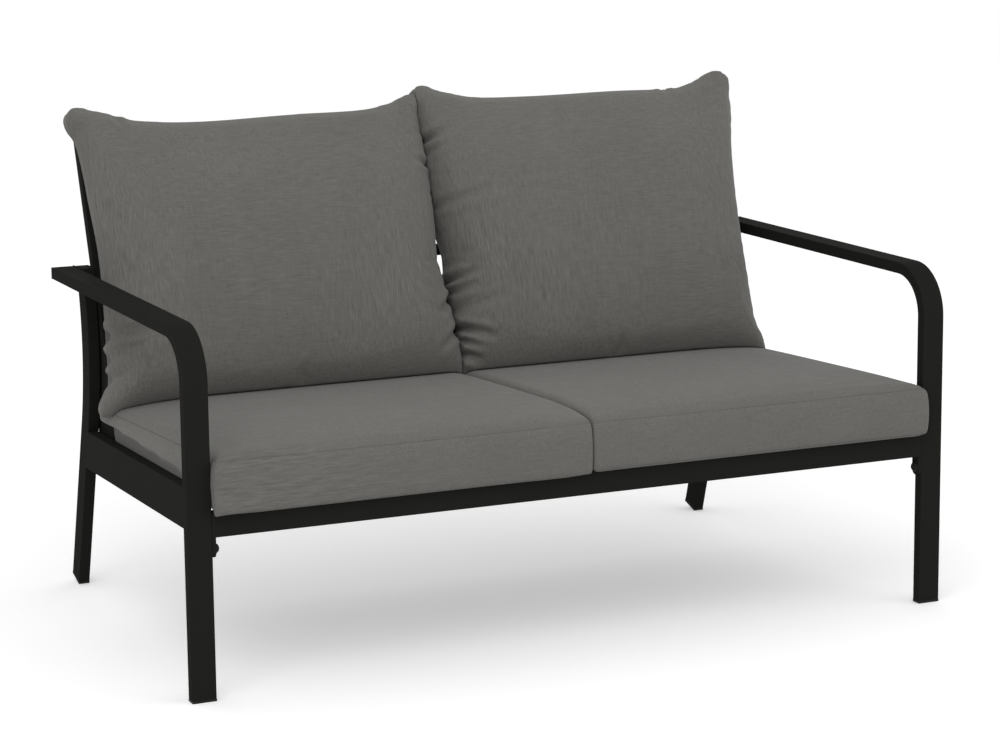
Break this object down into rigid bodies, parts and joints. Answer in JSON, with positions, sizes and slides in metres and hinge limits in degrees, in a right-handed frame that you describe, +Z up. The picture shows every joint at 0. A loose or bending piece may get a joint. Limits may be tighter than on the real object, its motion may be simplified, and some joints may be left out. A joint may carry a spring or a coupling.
{
  "type": "patio loveseat",
  "caption": "Low outdoor two-seat sofa: bent black tube arms and legs, raked rear legs, leaning slatted back, boxed seat cushions and loose knife-edge back pillows.",
  "frame": {"origin": "bottom centre of the bounding box, on the floor in the middle of the width and depth", "axes": "+Z up, -Y the side one sits down from, +X to the right of someone looking at the front"},
  "size_m": [1.366, 0.8416, 0.8617],
  "materials": {
    "frame_paint": "satin black powder coat",
    "bolt_steel": "plain zinc",
    "black_plastic": "matte black",
    "cushion_fabric": "woven grey taupe with a slub",
    "cushion_core": "soft off-white foam and fibre",
    "zip_tape": "dark grey coil zip tape",
    "zip_metal": "dark lacquered metal"
  },
  "bodies": {
    "frame": {"arm_leg_left": "frame_paint", "arm_leg_right": "frame_paint", "rear_leg_left": "frame_paint", "rear_leg_right": "frame_paint", "side_rail_left": "frame_paint", "side_rail_right": "frame_paint", "arm_link_left": "frame_paint", "arm_link_right": "frame_paint", "back_stile_left": "frame_paint", "back_stile_right": "frame_paint", "back_top_rail": "frame_paint", "back_cross_rail": "frame_paint", "back_lower_rail": "frame_paint", "back_slats": "frame_paint", "front_rail": "frame_paint", "rear_rail": "frame_paint", "seat_slats": "frame_paint", "centre_bearer": "frame_paint", "front_tabs": "frame_paint", "stile_foot_plates": "frame_paint", "frame_bolts": "bolt_steel", "frame_nuts": "bolt_steel", "stile_spacers": "bolt_steel", "front_feet": "black_plastic", "rear_feet": "black_plastic", "arm_end_plugs": "black_plastic", "stile_top_plugs": "black_plastic"},
    "left_seat_cushion": {"seat_cushion_left": "cushion_fabric", "seat_foam_left": "cushion_core", "seat_zip_left": "zip_tape"},
    "left_seat_slider": {"seat_zip_slider_left": "zip_metal"},
    "left_back_cushion": {"back_cushion_left": "cushion_fabric", "back_filling_left": "cushion_core", "back_zip_left": "zip_tape"},
    "left_back_slider": {"back_zip_slider_left": "zip_metal"},
    "right_seat_cushion": {"seat_cushion_right": "cushion_fabric", "seat_foam_right": "cushion_core", "seat_zip_right": "zip_tape"},
    "right_seat_slider": {"seat_zip_slider_right": "zip_metal"},
    "right_back_cushion": {"back_cushion_right": "cushion_fabric", "back_filling_right": "cushion_core", "back_zip_right": "zip_tape"},
    "right_back_slider": {"back_zip_slider_right": "zip_metal"}
  },
  "joints": [
    {"name": "left_seat_pull_out", "type": "slide", "parent": "frame", "child": "left_seat_cushion", "axis": [0, -0.9989, 0.0471], "range_m": [0, 0.62]},
    {"name": "left_back_lift_out", "type": "slide", "parent": "frame", "child": "left_back_cushion", "axis": [0, 0.342, 0.9397], "range_m": [0, 0.5]},
    {"name": "left_seat_zip_open", "type": "slide", "parent": "left_seat_cushion", "child": "left_seat_slider", "axis": [-1, 0, 0], "range_m": [0, 0.45]},
    {"name": "left_back_zip_open", "type": "slide", "parent": "left_back_cushion", "child": "left_back_slider", "axis": [-1, 0, 0], "range_m": [0, 0.31]},
    {"name": "right_seat_pull_out", "type": "slide", "parent": "frame", "child": "right_seat_cushion", "axis": [0, -0.9989, 0.0471], "range_m": [0, 0.62]},
    {"name": "right_back_lift_out", "type": "slide", "parent": "frame", "child": "right_back_cushion", "axis": [0, 0.342, 0.9397], "range_m": [0, 0.5]},
    {"name": "right_seat_zip_open", "type": "slide", "parent": "right_seat_cushion", "child": "right_seat_slider", "axis": [1, 0, 0], "range_m": [0, 0.45]},
    {"name": "right_back_zip_open", "type": "slide", "parent": "right_back_cushion", "child": "right_back_slider", "axis": [1, 0, 0], "range_m": [0, 0.31]}
  ]
}
